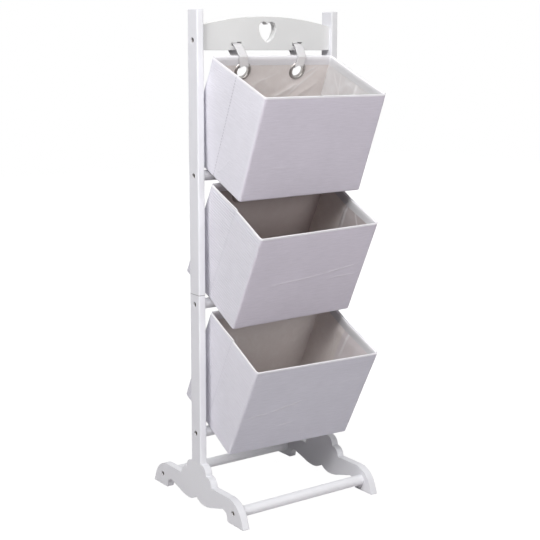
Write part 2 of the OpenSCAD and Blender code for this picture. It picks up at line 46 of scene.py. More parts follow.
class Wire:
    """One output of a shader's nodes. Arithmetic on it adds the Math nodes that do it."""

    def __init__(self, nodes, socket):
        self.nodes = nodes
        self.socket = socket

    def math(self, operation, *others):
        return self.nodes.node("Math", {"operation": operation}, dict(enumerate((self, *others))))

    def __add__(self, other):
        return self.math("ADD", other)

    __radd__ = __add__

    def __sub__(self, other):
        return self.math("SUBTRACT", other)

    def __rsub__(self, other):
        return self.nodes.node("Math", {"operation": "SUBTRACT"}, {0: other, 1: self})

    def __neg__(self):
        return 0 - self

    def __mul__(self, other):
        return self.math("MULTIPLY", other)

    __rmul__ = __mul__

    def __abs__(self):
        return self.math("ABSOLUTE")

    def wave(self, pitch):
        """A smooth wave from -1 to 1, one crest every pitch."""
        return (self * (2 * math.pi / pitch)).math("SINE")

    def rise(self, low, high):
        """0 below low, 1 above high and a smooth ramp between them."""
        return self.nodes.node("MapRange", {"interpolation_type": "SMOOTHSTEP"},
                               {0: self, 1: low, 2: high, 3: 0, 4: 1})


class Nodes:
    """The nodes of a shader, all added, set up and fed by one method."""

    def __init__(self, tree):
        self.tree = tree

    def node(self, kind, settings=None, values=None, output=0):
        made = self.tree.nodes.new("ShaderNode" + kind)
        for key, value in (settings or {}).items():
            setattr(made, key, value)
        for key, value in (values or {}).items():
            self.feed(made.inputs[key], value)
        return Wire(self, made.outputs[output])

    def feed(self, socket, value):
        if isinstance(value, Wire):
            self.tree.links.new(value.socket, socket)
        elif socket.type == "RGBA":
            socket.default_value = (*value, 1)
        else:
            socket.default_value = value

    def seen_directly(self):
        """1 for the camera's own rays and for those that metal mirrors."""
        own, mirrored, passed = [self.node("LightPath", output=f"Is {kind} Ray")
                                 for kind in ("Camera", "Glossy", "Transmission")]
        return own.math("MAXIMUM", mirrored).math("MAXIMUM", passed)


class Finish(Nodes):
    """A procedural material on one Principled surface."""

    def __init__(self, name, metallic=0.0, ior=1.5, sheen=0.0, sheen_roughness=0.5):
        self.material = bpy.data.materials.new(name)
        self.material.use_nodes = True
        super().__init__(self.material.node_tree)
        self.surface = self.tree.nodes["Principled BSDF"]
        for label, value in (("Metallic", metallic), ("IOR", ior), ("Sheen Weight", sheen),
                             ("Sheen Roughness", sheen_roughness)):
            self.feed(self.surface.inputs[label], value)

    def place(self):
        """Where a point of the piece is, in metres."""
        return self.node("TexCoord", output="Object")

    def part(self, vector, axis):
        """The x, y or z of a vector."""
        return self.node("SeparateXYZ", None, {0: vector}, output="xyz".index(axis))

    def facing(self, axis, normal="True Normal"):
        """How far a face looks along an axis, from -1 to 1."""
        return self.part(self.node("NewGeometry", output=normal), axis)

    def threads(self):
        """A cloth's own coordinates in metres, as a vector and as its parts across and down."""
        both = self.node("UVMap", {"uv_map": "threads"})
        return both, self.part(both, "x"), self.part(both, "y")

    def noise(self, place, scale, detail=2.0, roughness=0.5, distortion=0.0):
        """Random patches. Three scales stretch them along the axes."""
        if isinstance(scale, tuple):
            place = self.node("VectorMath", {"operation": "MULTIPLY"}, {0: place, 1: scale})
            scale = 1.0
        return self.node("TexNoise", None, {"Vector": place, "Scale": scale, "Detail": detail,
                                            "Roughness": roughness, "Distortion": distortion})

    def mix(self, share, first, second, blend="MIX"):
        """Two colours mixed."""
        return self.node("Mix", {"data_type": "RGBA", "blend_type": blend},
                         {0: share, 6: first, 7: second}, output=2)

    def bump(self, height, depth, strength, normal=None):
        under = {"Normal": normal} if normal else {}
        return self.node("Bump", None, {"Height": height, "Distance": depth, "Strength": strength, **under})

    def dress(self, **sockets):
        for label, value in sockets.items():
            self.feed(self.surface.inputs[label.replace("_", " ")], value)
        return self.material


EDGE_ROUND = 0.0016
JOINT_Z = 0.450833
JOINT_TONE = (0.16, 0.15, 0.15)


def painted_wood(name, grain, tone, painted_front_tone=None, joint_z=None):
    """Satin white paint over fine-grained wood, whose grain runs along the axis with grain = 1.

    Faces to the front may take a painted tone of their own: painted light where it is lighter,
    painted shade where it is darker. Paint stops short of a joint at the height joint_z, which leaves a
    fine dark line.
    """
    paint = Finish(name, ior=1.46)
    place = paint.place()
    fibres = paint.noise(place, tuple(25.2 if along else 420 for along in grain), 3, 0.6)
    cloud = paint.noise(place, 9, 3)
    spray = paint.noise(place, 1500, 1)
    rounded = paint.node("Bevel", {"samples": 4}, {"Radius": EDGE_ROUND})
    face = paint.node("NewGeometry", output="True Normal")
    edge = 1 - paint.node("VectorMath", {"operation": "DOT_PRODUCT"}, {0: rounded, 1: face}, output=1)
    worn = edge.rise(0.01, 0.25) * cloud.rise(0.35, 0.7)
    thin = [0.93 * v for v in tone]
    colour = paint.mix(cloud.rise(0.3, 0.75) * 0.35 + worn * 0.3, tone, thin)
    height = fibres * 0.6 + spray * 0.4
    # Painted light or painted shade on the faces to the front, as the posts ask for it.
    if painted_front_tone is not None:
        colour = paint.mix(abs(paint.part(rounded, "y")).rise(0.3, 0.9), colour, painted_front_tone)
    if joint_z is not None:
        line = 1 - abs(paint.part(place, "z") - joint_z).rise(0.0003, 0.0010)
        colour = paint.mix(line * 0.75, colour, JOINT_TONE)
        height = height - line * 4
    return paint.dress(Base_Color=colour, Roughness=0.36 + cloud * 0.1 + worn * 0.12,
                       Normal=paint.bump(height, 0.00012, 0.35, rounded))


def dress_nodes(material, *names):
    for name in names:
        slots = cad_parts[name].data.materials
        slots.clear()
        slots.append(material)


dress_nodes(painted_wood("white_paint_on_feet", (0, 1, 0), (0.77, 0.77, 0.80)),
            "left_foot", "right_foot")

# Rods.
# Round dowels of 22 mm wood, painted like the boards. Two join the feet and three join the posts.

dress_nodes(painted_wood("white_paint_on_rods", (1, 0, 0), (0.80, 0.80, 0.825)),
            "front_foot_rod", "back_foot_rod", "upper_cross_rod", "middle_cross_rod", "lower_cross_rod")

# Posts.
# Each post is two lengths of 16 x 35 mm wood with rounded long edges. A steel stud joins them,
# and their joint shows as a fine line.

# The front faces are painted lighter on the left posts, as painted light, and darker on the right posts, as
# painted shade.
for side, name, front in (("left", "white_paint_on_posts", (0.80, 0.80, 0.83)),
                          ("right", "white_paint_on_right_posts", (0.71, 0.71, 0.725))):
    dress_nodes(painted_wood(name, (0, 0, 1), (0.765, 0.765, 0.80), front, JOINT_Z),
                f"{side}_lower_post", f"{side}_upper_post")

# Top rail.
# A board with an arched top, a heart cut-out and two slots for webbing. It is screwed between
# the posts and kept from turning by two bare beech pins.

# The rail's paint is given a darker, more neutral tone than the posts'.
dress_nodes(painted_wood("white_paint_on_rail", (1, 0, 0), (0.705, 0.705, 0.703)), "top_rail")

beech = Finish("bare_beech")
beech_grain = beech.noise(beech.place(), (70, 700, 700), 4, 0.6)
dress_nodes(beech.dress(Base_Color=beech.mix(beech_grain.rise(0.35, 0.7), (0.62, 0.42, 0.24),
                                             (0.46, 0.29, 0.15)),
                        Roughness=0.55 + beech_grain * 0.15,
                        Normal=beech.bump(beech_grain, 0.0002, 0.4)), "rail_pins")

# Screws and studs.
# Nickel-plated steel screws with a hexagon socket sit deep in round recesses. Light only
# reaches their rims, and their steel is painted dark as painted shade of the recesses.

steel = Finish("plated_steel_painted_dark_as_recess_shade", metallic=1.0)
steel_turned = steel.noise(steel.place(), 900)
steel_stain = steel.noise(steel.place(), 160)
# The dark steel colours are painted shade of the recesses; the stain patches vary them.
dress_nodes(steel.dress(Base_Color=steel.mix(steel_stain.rise(0.3, 0.7), (0.22, 0.19, 0.15),
                                             (0.15, 0.13, 0.11)),
                        Roughness=0.3 + steel_turned * 0.16,
                        Normal=steel.bump(steel_turned, 0.0001, 0.4)),
            "foot_rod_screws", "foot_post_screws", "rail_screws", "cross_rod_screws", "post_studs")

# Bins.
# Three fabric bins with boards inside their walls. Each is made upright, with its back at y = 0
# and its rim at z = 0. It is draped over its boards, tilted and hung from the rod above it.

BIN_W, BIN_D, BIN_H = 0.298, 0.193, 0.217514
CORNER_R, BOTTOM_R = 0.0058, 0.0038
COVER_T, CARD_T, LINER_T, BASE_T = 0.001, 0.0025, 0.001, 0.003
WALL_T = COVER_T + CARD_T + LINER_T
MM = 0.001
FOLD_Y = -0.0955
EYELET_X, EYELET_DOWN = (-0.072, 0.065), 0.031
POST_Y = 0.0167084

# What sets one bin apart from the next. It hangs from a bar or rod at pivot_z, which is stand_off
# behind its back and rise above its rim. It rests on a rod at rest_z, whose radius with the webbing
# round it is rest_r, and has slid sideways by shift. In mm: slump is how far its front corners are
# out of square (left top, left bottom, right top, right bottom), pull how far the loops pull its
# rim's back, corner how far its rim's back left corner is off, fold_in how far its left and right
# sides are folded in, step how far its rim steps at the fold and bulge its left side's swell at the
# back. seed varies its random swells. Then its cloth: the front's colour, how strongly ribs and the
# side seam show, the lining's tone, which is painted light and shade for that bin, how loose that
# is, and the painted light and shade of its right panel behind and before the fold. Streaks are
# folds in the lining with a painted highlight and creases are ridges of the cover with a painted
# highlight, each with its panel and, in mm, its start, end and width, and then its height.
BINS = {
    "top": {
        "pivot_z": 0.945, "rest_z": 0.693167, "rest_r": 0.0130, "tilt": 22.5,
        "stand_off": 0.0335, "rise": 0.0022, "shift": 0.0005,
        "slump": ((1.0, -1.2, -0.8), (-0.8, -1.5, -4.1), (-0.2, -0.1, -0.9), (1.6, -1.5, 0.1)),
        "pull": (0, 0, 0), "corner": (-1.0, -0.6, -1.2), "fold_in": (0.5, 2.0), "step": 0.3,
        "bulge": 3.2, "seed": 3.1, "front": (0.735, 0.695, 0.780), "ribs": 0.15, "seam": 0.58,
        "lining": (1.06, 1.06, 1.06), "loose": 0.7,
        "right_lining": ((0.81, 0.85, 0.88), (0.80, 0.84, 0.87)),
        "streaks": [("back", (52, -58), (122, -16), 3.5, 1.0),
                    ("back", (36, -104), (130, -14), 4, 0.8),
                    ("back", (6, -98), (78, -56), 4.5, 0.6),
                    ("back", (-40, -60), (20, -34), 4, 0.4),
                    ("right", (-104, 20), (-114, -95), 6.5, 0.75),
                    ("right", (-20, -16), (-78, -80), 4, 0.4),
                    ("right", (-50, -10), (-66, -90), 3.5, 0.4)],
        "creases": [("left", (-140, -150), (-100, -205), 4, 0.8),
                    ("front", (-110, -150), (-20, -146), 3, 0.9)],
    },
    "middle": {
        "pivot_z": 0.693167, "rest_z": 0.429833, "rest_r": 0.0130, "tilt": 27.1759,
        "stand_off": 0.025, "rise": 0.0038, "shift": 0.003,
        "slump": ((1.1, -2.4, -1.9), (0.5, -4.4, -4.1), (-1.2, 3.6, 2.8), (1.5, -1.3, 0.3)),
        "pull": (0, 0, 1.8), "corner": (-1.5, -1.0, -1.0), "fold_in": (3.4, 5.0), "step": 2.3,
        "bulge": 0.8, "seed": 17.7, "front": (0.735, 0.695, 0.780), "ribs": 1.0, "seam": 0.2,
        "lining": (0.75, 0.71, 0.71), "loose": 0.15,
        "right_lining": ((1.50, 1.58, 1.55), (0.82, 0.84, 0.86)),
        "streaks": [("right", (-98, 15), (-104, -80), 5, 0.9),
                    ("right", (-120, -10), (-160, -60), 4, 0.7)],
        "creases": [("front", (134, -94), (35, -112), 3.6, 3.2),
                    ("front", (60, -106), (-110, -122), 3.8, 2.6),
                    ("front", (136, -120), (50, -124), 3.4, 2.4),
                    ("left", (-150, -150), (-60, -190), 4, 1.2)],
    },
    "lower": {
        "pivot_z": 0.429833, "rest_z": 0.155, "rest_r": 0.0113, "tilt": 27.349,
        "stand_off": 0.0205, "rise": 0.0153, "shift": 0.0055,
        "slump": ((-1.4, 3.3, 1.9), (-3.1, 1.1, -1.6), (5.7, -4.6, 2.0), (2.3, -6.8, -3.3)),
        "pull": (0.3, 2.4, 4.8), "corner": (-1.5, 0.3, 2.0), "fold_in": (0.5, 4.0), "step": 2.3,
        "bulge": 2.0, "seed": 41.3, "front": (0.700, 0.692, 0.765), "ribs": 0.5, "seam": 0.2,
        "lining": (0.96, 0.96, 0.96), "loose": 0.2,
        "right_lining": ((1.10, 1.10, 1.10), (0.98, 0.98, 1.02)),
        "streaks": [("right", (-112, 15), (-106, -90), 5, 1.0),
                    ("right", (-70, -30), (-90, -100), 4, 0.4),
                    ("back", (-70, -70), (-45, -130), 5, 0.5)],
        "creases": [("front", (-2, -92), (-88, -116), 3.6, 4.5),
                    ("front", (-76, -112), (-142, -123), 3.8, 3.0),
                    ("front", (-56, -158), (-12, -149), 3.4, 3.0),
                    ("front", (128, -59), (60, -67), 3.4, 1.2)],
    },
}

CELL = 0.004
ROUND_STEPS = 4
LINE_GAP = 0.0011


def stations(low, high, round_low, round_high, extra=()):
    """Lines of a grid from low to high, close together over a rounded end and at extra ones."""
    turn = [1 - math.tan(math.pi / 4 * (1 - k / ROUND_STEPS)) for k in range(ROUND_STEPS)]
    start = [low + round_low * t for t in turn]
    end = [high - round_high * t for t in reversed(turn)] if round_high else []
    first, last = low + round_low, high - round_high
    count = max(2, round((last - first) / CELL))
    even = [first + (last - first) * k / count for k in range(count + 1)]
    even = [v for v in even if all(abs(v - e) > LINE_GAP for e in extra)]
    return start + sorted(even + list(extra)) + end


FOLD_LINES = [FOLD_Y + MM * d for d in (-2.2, -1.2, -0.6, 0.0, 0.6, 1.2, 2.2)]


def plan_lines(inset):
    """The grid lines across and along a bin drawn in by inset."""
    r = CORNER_R - inset
    half = BIN_W / 2 - inset
    return stations(-half, half, r, r), stations(-BIN_D + inset, -inset, r, r, FOLD_LINES)


def eased(point, low, high, radii):
    """Moves a point of a box's surface on to the box's rounded edges."""
    inner = Vector([min(max(v, a), b) for v, a, b in zip(point, low, high)])
    out = Vector([(v - i) / r for v, i, r in zip(point, inner, radii)]).normalized()
    return tuple(i + o * r for i, o, r in zip(inner, out, radii))


def limits(inset, floor):
    """The box within which nothing is rounded, and the radii outside it."""
    r = CORNER_R - inset
    low_r = max(BOTTOM_R - inset, MM)
    half = BIN_W / 2 - inset - r
    return (-half, -BIN_D + inset + r, floor + low_r), (half, -inset - r, 1), (r, r, low_r)


def grid_box(lines, settle=tuple, lid=True):
    """A box's surface on a grid: points, faces and a function from a grid place to its point.

    settle moves each point of the grid to where it belongs.
    """
    points, index, faces = [], {}, []

    def corner(*place):
        if place not in index:
            index[place] = len(points)
            points.append(settle([line[p] for line, p in zip(lines, place)]))
        return index[place]

    for axis, line in enumerate(lines):
        across, along = [len(other) - 1 for a, other in enumerate(lines) if a != axis]
        for end in (0, len(line) - 1):
            if axis == 2 and end and not lid:
                continue
            for p in range(across):
                for q in range(along):
                    square = ((p, q), (p + 1, q), (p + 1, q + 1), (p, q + 1))
                    face = [corner(*place[:axis], end, *place[axis:]) for place in square]
                    faces.append(face if (end > 0) != (axis == 1) else face[::-1])
    return points, faces, corner


RIM_STEP = 0.0006


def tub(inset, floor_in, top_z):
    """Points, faces and rim of an open box with rounded edges, drawn in from a bin's outside."""
    floor = -BIN_H + floor_in
    box = limits(inset, floor)
    xs, ys = plan_lines(inset)
    zs = stations(floor, top_z - RIM_STEP, box[2][2], 0) + [top_z]
    points, faces, corner = grid_box((xs, ys, zs), lambda point: eased(point, *box), lid=False)
    return points, faces, [corner(i, j, len(zs) - 1) for i, j in way_round(len(xs) - 1, len(ys) - 1)]


def way_round(last_i, last_j):
    """The grid places round the edge of a plan, anticlockwise from its front left corner."""
    return ([(i, 0) for i in range(last_i)] + [(last_i, j) for j in range(last_j)]
            + [(i, last_j) for i in range(last_i, 0, -1)] + [(0, j) for j in range(last_j, 0, -1)])


def shell(outer_in, inner_in, outer_floor, inner_floor, top_z):
    """A closed layer of cloth between two tubs."""
    outside, out_faces, out_rim = tub(outer_in, outer_floor, top_z)
    inside, in_faces, in_rim = tub(inner_in, inner_floor, top_z)
    n = len(outside)
    faces = out_faces + [[n + v for v in reversed(f)] for f in in_faces]
    for a in range(len(out_rim)):
        b = (a + 1) % len(out_rim)
        faces.append((out_rim[a], out_rim[b], n + in_rim[b], n + in_rim[a]))
    return outside + inside, faces


def ring_faces(rings, size, first=0):
    """The faces of a closed tube of rings, which have size points each."""
    faces = []
    for ring in range(rings):
        here, there = first + ring * size, first + (ring + 1) % rings * size
        faces += [(here + k, here + (k + 1) % size, there + (k + 1) % size, there + k)
                  for k in range(size)]
    return faces


def new_mesh(name, points, faces, smooth=True):
    mesh = bpy.data.meshes.new(name)
    mesh.from_pydata([tuple(p) for p in points], [], faces)
    mesh.validate()
    if smooth:
        mesh.shade_smooth()
    return mesh


HOLE_R = 0.0142


def punched(mesh):
    """The mesh with the holes for a bin's two eyelets cut through its back."""
    cutter = bmesh.new()
    for x in EYELET_X:
        place = Matrix.Translation((x, 0, -EYELET_DOWN)) @ Matrix.Rotation(math.pi / 2, 4, "X")
        bmesh.ops.create_cone(cutter, cap_ends=True, segments=48, radius1=HOLE_R,
                              radius2=HOLE_R, depth=0.03, matrix=place)
    cutter_mesh = bpy.data.meshes.new("punch")
    cutter.to_mesh(cutter_mesh)
    cutter.free()
    blank = bpy.data.objects.new("blank", mesh)
    punch = bpy.data.objects.new("punch", cutter_mesh)
    for each in (blank, punch):
        bpy.context.collection.objects.link(each)
    cut = blank.modifiers.new("punch", "BOOLEAN")
    cut.operation = "DIFFERENCE"
    cut.solver = "EXACT"
    cut.object = punch
    shape = blank.evaluated_get(bpy.context.evaluated_depsgraph_get())
    result = bpy.data.meshes.new_from_object(shape)
    for each in (blank, punch):
        bpy.data.objects.remove(each)
    bpy.data.meshes.remove(cutter_mesh)
    bpy.data.meshes.remove(mesh)
    return result


def lay_threads(mesh):
    """Gives a cloth its own coordinates in metres: across the panel, and down it."""
    threads = mesh.uv_layers.new(name="threads")
    for face in mesh.polygons:
        n = [abs(v) for v in face.normal]
        axis = n.index(max(n))
        across, down = ((1, 2), (0, 2), (0, 1))[axis]
        for loop in face.loop_indices:
            p = mesh.vertices[mesh.loops[loop].vertex_index].co
            threads.data[loop].uv = (p[across], p[down])


def points_of(mesh):
    flat = np.empty(len(mesh.vertices) * 3)
    mesh.vertices.foreach_get("co", flat)
    return flat.reshape(-1, 3)


def outward(points):
    """The direction out of the bin at each point of its walls or floor."""
    inner = points.copy()
    inner[:, 0] = np.clip(points[:, 0], -BIN_W / 2 + CORNER_R, BIN_W / 2 - CORNER_R)
    inner[:, 1] = np.clip(points[:, 1], -BIN_D + CORNER_R, -CORNER_R)
    inner[:, 2] = np.maximum(points[:, 2], -BIN_H + CORNER_R)
    away = points - inner
    size = np.linalg.norm(away, axis=1, keepdims=True)
    return away / np.maximum(size, 1e-9)


def ramp(values, low, high):
    """0 at low, 1 at high, smooth between."""
    t = np.clip((values - low) / (high - low), 0, 1)
    return t * t * (3 - 2 * t)


def rumple(points, size, seed):
    """Smooth random hollows and swellings about size metres across, from -1 to 1."""
    return np.array([noise.noise(Vector(p) / size + Vector((seed, seed * 0.7, -seed))) for p in points])


def crease(across, down, start, end, width):
    """A ridge from start to end, given in mm, that fades at both."""
    start, end = np.array(start) * MM, np.array(end) * MM
    run = end - start
    length = np.linalg.norm(run)
    offset = np.stack([across, down], 1) - start
    along = offset @ run / length ** 2
    wander = 0.018 * length * np.sin(along * 5.0)
    aside = (offset[:, 0] * run[1] - offset[:, 1] * run[0]) / length + wander
    return np.exp(-(aside / (width * MM)) ** 2) * ramp(along, -0.05, 0.25) * (1 - ramp(along, 0.75, 1.05))


def slumped(points, bin_facts):
    """How far the soft box is out of square at each point, in metres."""
    left_top, left_low, right_top, right_low = [np.array(v) * MM for v in bin_facts["slump"]]
    right = np.clip(points[:, :1] / BIN_W + 0.5, 0, 1)
    front = np.clip(-points[:, 1:2] / BIN_D, 0, 1)
    low = np.clip(-points[:, 2:] / BIN_H, 0, 1)
    at_left = left_top * (1 - low) + left_low * low
    at_right = right_top * (1 - low) + right_low * low
    move = (at_left * (1 - right) + at_right * right) * front
    high = (1 - ramp(-points[:, 2], 0.055, 0.150))[:, None]
    move += np.array(bin_facts["pull"]) * MM * (1 - front) * high
    at_corner = ramp(-points[:, 0], 0.100, BIN_W / 2)[:, None]
    move += np.array(bin_facts["corner"]) * MM * (1 - front) * (1 - low) * at_corner
    from_fold = np.abs(points[:, 1] - FOLD_Y)
    tent = np.clip(1 - from_fold / (BIN_D / 2 - CORNER_R), 0, 1) * (1 - 0.75 * low[:, 0] ** 2)
    for side, depth in zip((-1, 1), bin_facts["fold_in"]):
        reach = ramp(side * points[:, 0], BIN_W / 2 - 0.030, BIN_W / 2 - 0.006)
        move[:, 0] -= side * depth * MM * tent * reach
    swell = ramp(points[:, 1], -0.080, -0.010) * ramp(-points[:, 2], 0.025, 0.075)
    move[:, 0] -= bin_facts["bulge"] * MM * swell * ramp(-points[:, 0], 0.110, BIN_W / 2 - 0.006)
    return move


def hung(points, bin_facts):
    """Tilts the upright bin and hangs it from its rod."""
    turn = np.array(Matrix.Rotation(math.radians(bin_facts["tilt"]), 3, "X"))
    from_rod = points + np.array([0, -bin_facts["stand_off"], -bin_facts["rise"]])
    return from_rod @ turn.T + np.array([bin_facts["shift"], POST_Y, bin_facts["pivot_z"]])


def clear_of_eyelets(points, near=0.022, far=0.045):
    """0 at the eyelets, 1 away from them."""
    mask = np.ones(len(points))
    for x in EYELET_X:
        away = np.hypot(points[:, 0] - x, points[:, 2] + EYELET_DOWN)
        mask *= np.where(points[:, 1] > -0.02, ramp(away, near, far), 1)
    return mask


# Bin covers.
# The outside of a bin is one piece of off-white woven cloth, pulled over the boards. It has
# fine slubs across, faint ribs on the sides, a sewn seam down each side and small creases.

CLOTH_SIDE_PAINTED_LIGHT = (0.835, 0.824, 0.892)
CLOTH_SHADE = 0.88
CLOTH_CREASE_HIGHLIGHT = (0.90, 0.88, 0.93)
SEAM_SHADE = (0.36, 0.34, 0.40)
RIM_PAINTED_HIGHLIGHT = (0.93, 0.92, 0.95)
THREAD_PITCH, RIB_PITCH, STITCH_PITCH = 0.0009, 0.0055, 0.0064
SEAM_Y = -0.0918
COVER_TOP = -0.0012


def fine_folds(across, down, panels, folds):
    """Ridges of cloth too fine for the mesh, each from one place on a panel to another."""
    total = 0.0
    for panel, start, end, width, height in folds:
        (x0, z0), (x1, z1) = [[v * MM for v in place] for place in (start, end)]
        dx, dz = x1 - x0, z1 - z0
        size = math.hypot(dx, dz)
        from_x, from_z = across - x0, down - z0
        along = (from_x * dx + from_z * dz) * (1 / size ** 2)
        aside = abs((from_x * dz - from_z * dx) * (1 / size) + along.wave(0.9) * 0.0008)
        ends = along.rise(0.0, 0.3) * (1 - along.rise(0.7, 1.0))
        total = total + (1 - aside.rise(0.0, width * MM)) * ends * panels[panel] * height
    return total


def woven_cloth(name, bin_facts):
    """Plain woven cloth, with ribs of weft on the side panels and creases, and painted light and shade:
    lighter sides, crease ridges and top edge, darker rounded upright edges.
    """
    cloth = Finish(name, ior=1.4, sheen=0.06)
    threads, across, down = cloth.threads()
    drift = cloth.noise(threads, 60)
    weave = (across + drift * 0.0004).wave(THREAD_PITCH) * (down + drift * 0.0004).wave(THREAD_PITCH)
    fine = cloth.noise(threads, (60, 900, 0), 3, 0.6)
    slub = cloth.noise(threads, (32, 330, 0), 3, 0.55)
    hatch = cloth.noise(threads, 330, 2, 0.5, 1.2)
    cloud = cloth.noise(cloth.place(), 14, 3)
    on_side = abs(cloth.facing("x")).rise(0.5, 0.9)
    # Painted shade on the cover's rounded upright edges, where a side turns to the front.
    rounding = abs(cloth.facing("x", "Normal"))
    turned = rounding.rise(0.12, 0.45) * (1 - rounding.rise(0.85, 0.99))
    rib = (down + drift * 0.0016).wave(RIB_PITCH) * on_side * bin_facts["ribs"]
    stitch = down.wave(STITCH_PITCH).rise(-0.4, 0.2)
    sewn = (1 - abs(across - SEAM_Y).rise(0.0005, 0.0015)) * on_side * bin_facts["seam"]
    folds = fine_folds(across, down, {"front": 1 - on_side, "left": on_side}, bin_facts["creases"])
    tone = (slub.rise(0.3, 0.7) * 0.4 + fine.rise(0.3, 0.7) * 0.3 + cloud.rise(0.3, 0.7) * 0.2 + rib * 0.2
            + turned * 0.8)
    # The side panels are painted lighter than the front, as painted light.
    plain = cloth.mix(on_side, bin_facts["front"], CLOTH_SIDE_PAINTED_LIGHT)
    shaded = cloth.mix(1.0, plain, [CLOTH_SHADE] * 3, "MULTIPLY")
    colour = cloth.mix(tone, plain, shaded)
    # Painted highlight on the creases' ridges.
    colour = cloth.mix(folds * 0.09, colour, CLOTH_CREASE_HIGHLIGHT)
    under = (-cloth.facing("z")).rise(0.6, 0.8)
    # Painted highlight along the cover's top edge, except on faces that look down.
    colour = cloth.mix(down.rise(-0.0045, -0.0025) * (1 - under) * 0.85, colour, RIM_PAINTED_HIGHLIGHT)
    colour = cloth.mix(sewn * (0.25 + 0.75 * stitch), colour, SEAM_SHADE)
    height = (weave * 0.25 + slub * 1.1 + fine * 0.8 + hatch * (0.5 + on_side) + rib * 1.4 + folds
              - sewn * (1.0 + 1.6 * stitch))
    return cloth.dress(Base_Color=colour, Roughness=0.86 + slub * 0.1,
                       Normal=cloth.bump(height, 0.00040, 0.8))


def panels_of(away):
    """How far each point belongs to each panel, from its direction out of the bin."""
    facing = {"left": -away[:, 0], "right": away[:, 0], "front": -away[:, 1], "back": away[:, 1],
              "floor": -away[:, 2]}
    return {panel: np.clip(share, 0, 1) for panel, share in facing.items()}


def covered(points, bin_facts):
    """The cover's drape over its boards: it swells a little and has a few creases."""
    away = outward(points)
    x, y, z = points.T
    on = panels_of(away)
    sides = on["left"] + on["right"]
    down = np.clip(-z / BIN_H, 0, 1)
    swell_down = np.sin(np.pi * down)
    middle_x = np.cos(np.pi * np.clip(x / BIN_W, -0.5, 0.5))
    half_y = np.abs(np.sin(2 * np.pi * np.clip(-y / BIN_D, 0, 1)))
    seed = bin_facts["seed"]
    slow = rumple(points, 0.080, seed)
    quick = rumple(points, 0.022, seed + 5)
    lift = 0.0006 * on["front"] * middle_x * swell_down * (1.2 + slow)
    lift += 0.0008 * sides * half_y * swell_down
    lift += (0.0005 * (slow * 0.5 + 0.5) + 0.00018 * (quick * 0.5 + 0.5)) * (on["front"] + sides)
    lift += 0.0012 * on["floor"] * middle_x * np.sin(np.pi * np.clip(-(y + 0.03) / (BIN_D - 0.03), 0, 1))
    lift -= 0.0006 * sides * np.exp(-((y - FOLD_Y) / 0.0012) ** 2)
    lift *= 1 - on["back"]
    lift *= ramp(-z, 0.0, 0.02) * 0.9 + 0.1
    return points + away * lift[:, None] + slumped(points, bin_facts)


FLOOR_T, FLOOR_FADE, REST_REACH = 0.006, 0.020, 0.035


def rested(points, heights, bin_facts):
    """Lifts the floor's layers on to the rod below, each by its own height in the upright bin."""
    tilt = math.radians(bin_facts["tilt"])
    drop = bin_facts["rest_z"] - bin_facts["pivot_z"]
    rod_y = drop * math.sin(tilt) + bin_facts["stand_off"]
    rod_z = drop * math.cos(tilt) + bin_facts["rise"]
    above = heights + BIN_H
    short = np.maximum(rod_z + bin_facts["rest_r"] + np.clip(above, 0, FLOOR_T) - points[:, 2], 0)
    near = np.exp(-((points[:, 1] - rod_y) / REST_REACH) ** 2) * (1 - ramp(above, FLOOR_T, FLOOR_FADE))
    lifted = points.copy()
    lifted[:, 2] += short * near
    return lifted


def make_layer(tier, kind, base, drape, material, node):
    """A piece of a bin: its upright base is draped, hung from the bin's rod and stands for a node."""
    bin_facts = BINS[tier]
    upright = points_of(base)
    points = hung(rested(drape(upright, bin_facts), upright[:, 2], bin_facts), bin_facts)
    mesh = base.copy()
    mesh.vertices.foreach_set("co", points.ravel())
    mesh.update()
    mesh.materials.clear()
    mesh.materials.append(material)
    piece = bpy.data.objects.new(f"{tier}_{kind}", mesh)
    bpy.context.collection.objects.link(piece)
    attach(piece, f"{tier}_bin")
    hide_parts(f"{tier}_bin_{node}")


def cloth_base(mesh):
    """A layer of cloth for any of the bins, with holes for the eyelets and its own coordinates."""
    base = punched(mesh)
    lay_threads(base)
    base.shade_smooth()
    return base


cover_base = cloth_base(new_mesh("cover", *shell(0, COVER_T, 0, COVER_T, COVER_TOP)))
for tier, facts in BINS.items():
    make_layer(tier, "cover_cloth", cover_base, covered,
               woven_cloth(f"bin_fabric_{tier}", facts), "cover")

# Bin hems.
# The cover's top is folded over the rim and sewn down inside, which leaves a slightly puffed edge
# with a painted highlight along its top, and a pale band along the top of the lining.

HEM_PROFILE = [(0, -1.5), (-0.12, -0.9), (-0.02, -0.15), (0.4, 0.4), (1.05, 0.6), (1.75, 0.4),
               (2.35, -0.2), (2.85, -1.1), (3.35, -2.4), (3.8, -3.9), (4.25, -5.3), (4.5, -7),
               (4.55, -9.5), (4.5, -12), (4.52, -14), (4.5, -15), (4.42, -15.6), (4.5, -16.2),
               (4.62, -17.2), (4.58, -18.4), (4.4, -19), (3.9, -19.1), (3.6, -18.6), (3.55, -13),
               (3.5, -8), (3.1, -5.4), (2.5, -3.9), (1.8, -2.7), (1.1, -1.9)]


def hem_mesh():
    points = []
    for inset, z in HEM_PROFILE:
        xs, ys = plan_lines(inset * MM)
        box = limits(inset * MM, -BIN_H)
        ring = [eased((xs[i], ys[j], 0), *box) for i, j in way_round(len(xs) - 1, len(ys) - 1)]
        points += [(x, y, z * MM) for x, y, _ in ring]
    return new_mesh("hem", points, ring_faces(len(HEM_PROFILE), len(ring)))


